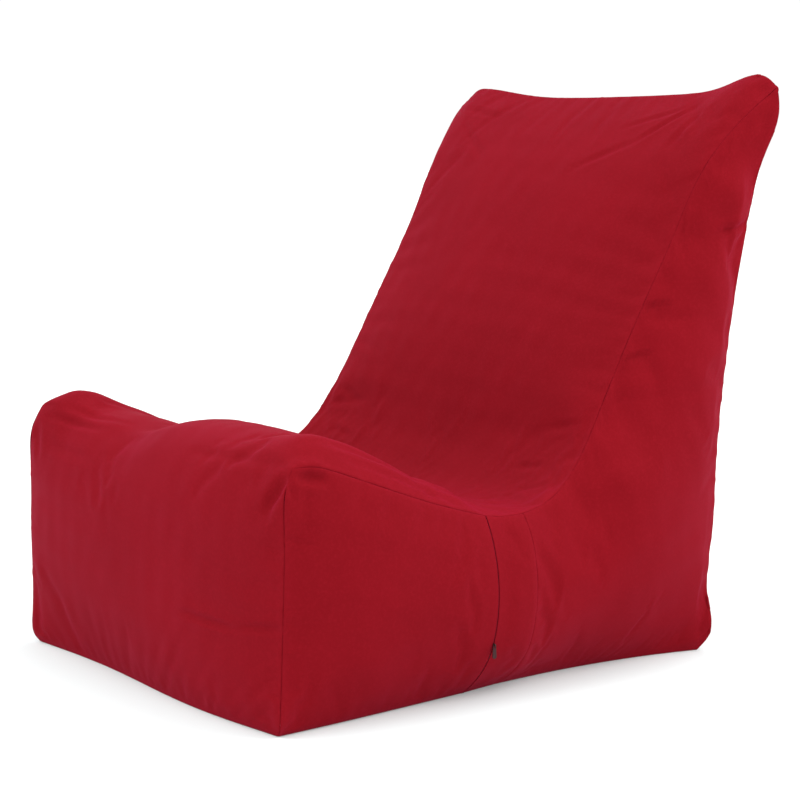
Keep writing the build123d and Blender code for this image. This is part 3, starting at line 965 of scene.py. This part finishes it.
def maths(tree, operation, a, b=0.0, clamp=False):
    """The result of one sum, with outputs or plain numbers."""
    node = tree.nodes.new("ShaderNodeMath")
    node.operation = operation
    node.use_clamp = clamp
    for socket, value in zip(node.inputs, (a, b)):
        feed(tree, value, socket)
    return node.outputs[0]


def noise(tree, coordinates, scale, detail=3.0, roughness=0.5):
    """Soft random tones from 0 to 1."""
    node = tree.nodes.new("ShaderNodeTexNoise")
    node.inputs["Scale"].default_value = scale
    node.inputs["Detail"].default_value = detail
    node.inputs["Roughness"].default_value = roughness
    tree.links.new(coordinates, node.inputs["Vector"])
    return node.outputs["Fac"]


def bump(tree, height, strength, distance, under=None, invert=False):
    """A normal that shows the height, laid over the normal of another bump if there is one."""
    node = tree.nodes.new("ShaderNodeBump")
    node.inputs["Strength"].default_value = strength
    node.inputs["Distance"].default_value = distance
    node.invert = invert
    tree.links.new(height, node.inputs["Height"])
    if under is not None:
        tree.links.new(under, node.inputs["Normal"])
    return node.outputs[0]


def object_space(tree):
    """Coordinates in metres that move with the piece."""
    return tree.nodes.new("ShaderNodeTexCoord").outputs["Object"]


def paler(colour, by):
    """The colour made lighter, as red, green, blue and alpha."""
    return (*(min(1.0, c * by) for c in colour), 1)


def weave(tree, uv, threads_per_metre):
    """Height of a plain weave: warp and weft threads pass over each other in turn."""
    split = tree.nodes.new("ShaderNodeSeparateXYZ")
    tree.links.new(uv, split.inputs[0])
    turns = math.pi * threads_per_metre
    across, along = (maths(tree, "SINE", maths(tree, "MULTIPLY", split.outputs[k], turns))
                     for k in (0, 1))
    warp, weft = maths(tree, "ABSOLUTE", across), maths(tree, "ABSOLUTE", along)
    # MULTIPLY_ADD adds the node's own third value, which is one half.
    lifted = maths(tree, "MULTIPLY_ADD", maths(tree, "MULTIPLY", across, along), 0.25)
    return maths(tree, "ADD", maths(tree, "MULTIPLY", warp, weft), lifted)


RED = (0.250, 0.0052, 0.0110)
RED_DEEP = (0.206, 0.0043, 0.0085)
RED_PALE = (0.296, 0.0085, 0.0180)
THREADS_PER_METRE = 1500.0
SEAM_RUB = 0.010  # how far from a seam the cloth is rubbed


def cover_colour(tree, place):
    """Deep and plain red in soft clouds, with pale specks and paler cloth by the seams."""
    cloud = noise(tree, place, scale=5.0, detail=4.0)
    tone = maths(tree, "MULTIPLY", maths(tree, "SUBTRACT", cloud, 0.35), 1.2, clamp=True)
    colour = mix_colour(tree, tone, (*RED_DEEP, 1), (*RED, 1))
    grain = noise(tree, place, scale=220.0, detail=2.0)
    speck = maths(tree, "MULTIPLY", maths(tree, "SUBTRACT", grain, 0.45), 0.8, clamp=True)
    colour = mix_colour(tree, speck, colour, (*RED_PALE, 1))
    seam = tree.nodes.new("ShaderNodeAttribute")
    seam.attribute_name = "seam"
    worn = noise(tree, place, scale=90.0)
    rubbed = maths(tree, "MULTIPLY", seam.outputs["Fac"], worn, clamp=True)
    return mix_colour(tree, maths(tree, "MULTIPLY", rubbed, 0.35), colour, (*RED_PALE, 1))


def cover_material():
    """Fine polyester weave, a little uneven in its dye, paler where seams are rubbed."""
    material, tree, shader = new_material("cover_fabric", RED, 0.72)
    coordinates = tree.nodes.new("ShaderNodeTexCoord")
    place = coordinates.outputs["Object"]
    tree.links.new(cover_colour(tree, place), shader.inputs["Base Color"])
    shader.inputs["Specular IOR Level"].default_value = 0.02
    shader.inputs["Sheen Weight"].default_value = 0.13
    shader.inputs["Sheen Roughness"].default_value = 0.45
    shader.inputs["Sheen Tint"].default_value = (0.95, 0.05, 0.25, 1)
    threads = weave(tree, coordinates.outputs["UV"], THREADS_PER_METRE)
    fine = bump(tree, threads, strength=0.22, distance=0.00025)
    uneven = noise(tree, place, scale=38.0, detail=5.0, roughness=0.55)
    soft = bump(tree, uneven, strength=0.25, distance=0.0012, under=fine)
    tree.links.new(soft, shader.inputs["Normal"])
    return material


def bead_material():
    """Expanded polystyrene beads packed together, darker towards each bead's edge: painted shade between the beads."""
    material, tree, shader = new_material("beads", (0.86, 0.86, 0.85), 0.55)
    cells = tree.nodes.new("ShaderNodeTexVoronoi")
    cells.inputs["Scale"].default_value = 220.0
    tree.links.new(object_space(tree), cells.inputs["Vector"])
    gap = cells.outputs["Distance"]
    round_beads = bump(tree, gap, strength=1.0, distance=0.002, invert=True)
    tree.links.new(round_beads, shader.inputs["Normal"])
    # Darker towards each bead's edge, where the beads meet: painted shade between them.
    shade = mix_colour(tree, gap, (0.90, 0.90, 0.89, 1), (0.55, 0.55, 0.54, 1))
    tree.links.new(shade, shader.inputs["Base Color"])
    return material


def liner_material():
    """Thin white nonwoven with a speckle of fused fibres."""
    material, tree, shader = new_material("liner_fabric", (0.80, 0.80, 0.78), 0.85)
    fibres = noise(tree, object_space(tree), scale=700.0, detail=6.0, roughness=0.7)
    shade = mix_colour(tree, fibres, (0.66, 0.66, 0.64, 1), (0.86, 0.86, 0.85, 1))
    tree.links.new(shade, shader.inputs["Base Color"])
    fused = bump(tree, fibres, strength=0.4, distance=0.0005)
    tree.links.new(fused, shader.inputs["Normal"])
    return material


def metal_material(name, colour, roughness):
    """Painted zinc, worn a little unevenly."""
    material, tree, shader = new_material(name, colour, roughness)
    shader.inputs["Metallic"].default_value = 0.3
    wear = noise(tree, object_space(tree), scale=900.0, detail=4.0)
    share = maths(tree, "MULTIPLY", wear, 0.5, clamp=True)
    tree.links.new(mix_colour(tree, share, (*colour, 1), paler(colour, 2.2)),
                   shader.inputs["Base Color"])
    tree.links.new(maths(tree, "MULTIPLY_ADD", wear, 0.3), shader.inputs["Roughness"])
    scuffs = bump(tree, wear, strength=0.15, distance=0.0001)
    tree.links.new(scuffs, shader.inputs["Normal"])
    return material


def woven_material(name, colour, axis, turns_per_metre, roughness=0.8):
    """A ribbed tape or coil, with its ribs one after another along an axis of the piece, and a painted highlight on
    each rib's crest.
    """
    material, tree, shader = new_material(name, colour, roughness)
    split = tree.nodes.new("ShaderNodeSeparateXYZ")
    tree.links.new(object_space(tree), split.inputs[0])
    rib = maths(tree, "SINE", maths(tree, "MULTIPLY", split.outputs[axis], turns_per_metre))
    # Paler on each rib's crest, where the bump stands highest: a painted highlight.
    tone = maths(tree, "MULTIPLY", maths(tree, "ADD", rib, 1.0), 0.5, clamp=True)
    shade = mix_colour(tree, tone, (*colour, 1), paler(colour, 1.5))
    tree.links.new(shade, shader.inputs["Base Color"])
    ribs = bump(tree, rib, strength=0.5, distance=0.0002)
    tree.links.new(ribs, shader.inputs["Normal"])
    return material


# --- Pieces ---
LINER_DEPTH = 0.016  # from the cover's surface
BEAD_DEPTH = 0.0185
LINER_CLOTH = 0.0006
THIN_TOP = (0.88, 0.08)  # height from which, and over which, the bag thins to its top edge
THIN_SHARE = 0.7  # how much of the depth is left out there
TOP_INSET = (0.035, 0.020, 0.032)  # drawn in there instead: share of x, then y and z
SEAM_ALLOWANCE = 0.010


def shell(grids, normals, names, depth):
    """A mesh of several panels together, drawn in from the cover by the depth."""
    inner = {}
    share, back, down = TOP_INSET
    for name in names:
        grid = grids[name]
        high = fade(grid[..., 2:], THIN_TOP)
        inner[name] = grid - normals[name] * depth * (1 - THIN_SHARE * high)
        inner[name] -= high * (grid * share * (1, 0, 0) + (0, back, down))
    points, quads, _ = welded(inner)
    return smooth_mesh("shell", points, quads)


def cut_of(bare_grids, names):
    """The size and area that panels are cut to, with a seam allowance all round.

    A band is measured along its curve, and a side by the extent of its outline.
    """
    on_side = names[0].startswith(("side", "zip"))
    area = 0.0
    widths, lengths = [], []
    for name in names:
        grid = bare_grids[name]
        across = np.linalg.norm(np.diff(grid, axis=1), axis=2).sum(1).max()
        along = np.linalg.norm(np.diff(grid, axis=0), axis=2).sum(0).max()
        if on_side:
            across, along = np.ptp(grid[..., 1]), np.ptp(grid[..., 2])
        diagonals = np.cross(grid[1:, 1:] - grid[:-1, :-1], grid[1:, :-1] - grid[:-1, 1:])
        area += np.linalg.norm(diagonals, axis=-1).sum() / 2
        widths.append(across + 2 * SEAM_ALLOWANCE)
        lengths.append(along + 2 * SEAM_ALLOWANCE)
    if on_side:
        width, length = sum(widths), max(lengths)
    else:
        width, length = max(widths), sum(lengths)
    area += SEAM_ALLOWANCE * 2 * (width + length)
    size = (round(float(width), 3), round(float(length), 3))
    return {"flat": size, "area": min(round(float(area), 3), size[0] * size[1])}


def liner_and_beads(grids, normals, bare_grids):
    """The liner's band and two sides, and the beads inside them."""
    shells = {
        "bead_fill": (tuple(grids), BEAD_DEPTH),
        "liner_main": (("front_seat_back_panel", "rear_panel", "bottom_panel"), LINER_DEPTH),
        "liner_side_right": ([name + "_right" for name in SIDE_PANELS], LINER_DEPTH),
        "liner_side_left": ([name + "_left" for name in SIDE_PANELS], LINER_DEPTH),
    }
    liner_fabric, beads = liner_material(), bead_material()
    for node, (names, depth) in shells.items():
        mesh = shell(grids, normals, names, depth)
        obj = in_scene(node + "_soft", mesh)
        mesh.materials.append(beads if node == "bead_fill" else liner_fabric)
        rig.ride(obj, "bag")
        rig.replaces(obj, node)
        if node == "bead_fill":
            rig.slot(obj, "beads")
            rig.padded(obj, fill=0.9)
            continue
        solid = obj.modifiers.new("thickness", "SOLIDIFY")
        solid.thickness = LINER_CLOTH
        apply_modifiers(obj)
        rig.slot(obj, "liner_fabric")
        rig.sheet(obj, held="stretched", rests_on=["bead_fill_soft"], **cut_of(bare_grids, names))


def cover_panels(grids, normals, bare_grids):
    """The nine sewn panels of the cover."""
    cover = cover_material()
    for name, grid in grids.items():
        piece = panel(name, grid, normals[name])
        piece.data.materials.append(cover)
        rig.replaces(piece, name)
        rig.slot(piece, "cover_fabric")
        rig.ride(piece, "bag")
        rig.sheet(piece, held="stretched", rests_on=["bead_fill_soft"],
                 **cut_of(bare_grids, [name]))


def dress_zips():
    """Materials for the zip pieces that stay as the CAD model has them."""
    metal = metal_material("zip_metal", (0.030, 0.004, 0.005), 0.45)
    # The first word that is in a piece's name says which material it gets.
    looks = [
        ("liner_zip", woven_material("liner_zip", (0.62, 0.62, 0.60), 0, 4200.0, 0.6)),
        ("tape", woven_material("zip_tape", (0.16, 0.0045, 0.008), 2, 5200.0)),
        ("coil", woven_material("zip_coil", (0.10, 0.0035, 0.006), 2, 3600.0, 0.45)),
        ("slider", metal),
        ("pull", metal),
        ("stops", metal),
    ]
    for name, node in frame["nodes"].items():
        chosen = next((look for word, look in looks if word in name), None)
        if chosen is not None:
            for slot in node.material_slots:
                slot.material = chosen


# --- Floor, light and camera ---
FLOOR_REACH = 60.0
SUN_SPREAD = 65  # degrees, so that shadows are soft
# The studio is white behind the chair and a little darker on the other side.
WHITE_WAY = (-0.80, 0.60, 0.0)
DARK_SIDE, WHITE_SIDE = 0.84, 1.03  # strength of the light from each side
CAMERA_AZIMUTH, CAMERA_PITCH = 52.9, 6.9  # degrees: round from the front, and looking down
CAMERA_PLACE = (2.9165, -2.1925, 0.874)
CAMERA_LENS, CAMERA_SENSOR = 94.5, 36.0  # millimetres


def make_stage():
    """A wide white floor that glows faintly, so that its shadows stay light."""
    corners = np.array([(-1, -1, 0), (1, -1, 0), (1, 1, 0), (-1, 1, 0)]) * FLOOR_REACH
    floor = in_scene("studio_floor", smooth_mesh("studio_floor", corners, np.array([(0, 1, 2, 3)])))
    material, _, shader = new_material("studio_white", (0.72, 0.75, 0.75), 0.9)
    shader.inputs["Specular IOR Level"].default_value = 0.0
    shader.inputs["Emission Color"].default_value = (0.80, 1.0, 1.0, 1)
    shader.inputs["Emission Strength"].default_value = 0.205
    floor.data.materials.append(material)
    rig.stage(floor)


def place_light(name, light, place, target):
    """A lamp at the place, turned to the target."""
    obj = in_scene(name, light)
    obj.location = place
    obj.rotation_euler = (Vector(target) - Vector(place)).to_track_quat("-Z", "Y").to_euler()


def soft_sun(name, source, strength):
    """Even light from the direction of source, as from a very large softbox."""
    light = bpy.data.lights.new(name, "SUN")
    light.angle = math.radians(SUN_SPREAD)
    light.energy = strength
    place_light(name, light, source, (0, 0, 0))


def softbox(name, place, target, size, power):
    """A square lamp of this size in metres and power in watts."""
    light = bpy.data.lights.new(name, "AREA")
    light.size = size
    light.energy = power
    place_light(name, light, place, target)


def make_world():
    """White surroundings, a little darker on one side."""
    world = bpy.data.worlds.new("studio")
    bpy.context.scene.world = world
    world.use_nodes = True
    tree = world.node_tree
    background = tree.nodes["Background"]
    background.inputs["Color"].default_value = (1.0, 1.0, 1.0, 1)
    towards = tree.nodes.new("ShaderNodeVectorMath")
    towards.operation = "DOT_PRODUCT"
    towards.inputs[1].default_value = WHITE_WAY
    way = tree.nodes.new("ShaderNodeTexCoord").outputs["Generated"]
    tree.links.new(way, towards.inputs[0])
    scale = tree.nodes.new("ShaderNodeMapRange")
    limits = {"From Min": -1.0, "From Max": 0.9, "To Min": DARK_SIDE, "To Max": WHITE_SIDE}
    for socket, value in limits.items():
        scale.inputs[socket].default_value = value
    tree.links.new(towards.outputs["Value"], scale.inputs["Value"])
    tree.links.new(scale.outputs["Result"], background.inputs["Strength"])


def make_lights():
    """Three soft suns and a softbox for the right side, without added contrast."""
    soft_sun("key", (-1.6, -2.2, 3.6), strength=1.36)
    soft_sun("top", (0.3, 0.3, 4.0), strength=0.35)
    soft_sun("fill", (1.0, 2.0, 3.2), strength=0.85)
    softbox("rear_fill", (2.0, 1.6, 2.3), (0.3, 0.1, 0.6), size=1.6, power=34)
    bpy.context.scene.view_settings.view_transform = "Standard"


def make_camera():
    """A long lens from the front right, a little above the seat."""
    data = bpy.data.cameras.new("camera")
    data.lens = CAMERA_LENS
    data.sensor_width = CAMERA_SENSOR
    camera = in_scene("camera", data)
    camera.location = CAMERA_PLACE
    camera.rotation_euler = (math.radians(90 - CAMERA_PITCH), 0, math.radians(CAMERA_AZIMUTH))
    bpy.context.scene.camera = camera


# --- Build ---
bare_grids = bag_grids()
grids = bare_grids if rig.quick() else settle(bare_grids)
weld_normals = shared_normals(grids)
liner_and_beads(grids, weld_normals, bare_grids)
cover_panels(grids, weld_normals, bare_grids)
dress_zips()
make_stage()
make_world()
make_lights()
make_camera()

with open(SIZE_FILE, "w") as file:
    json.dump({"cad": [list(corner) for corner in cad_box],
               "visual": [list(corner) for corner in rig.bounds()]}, file)
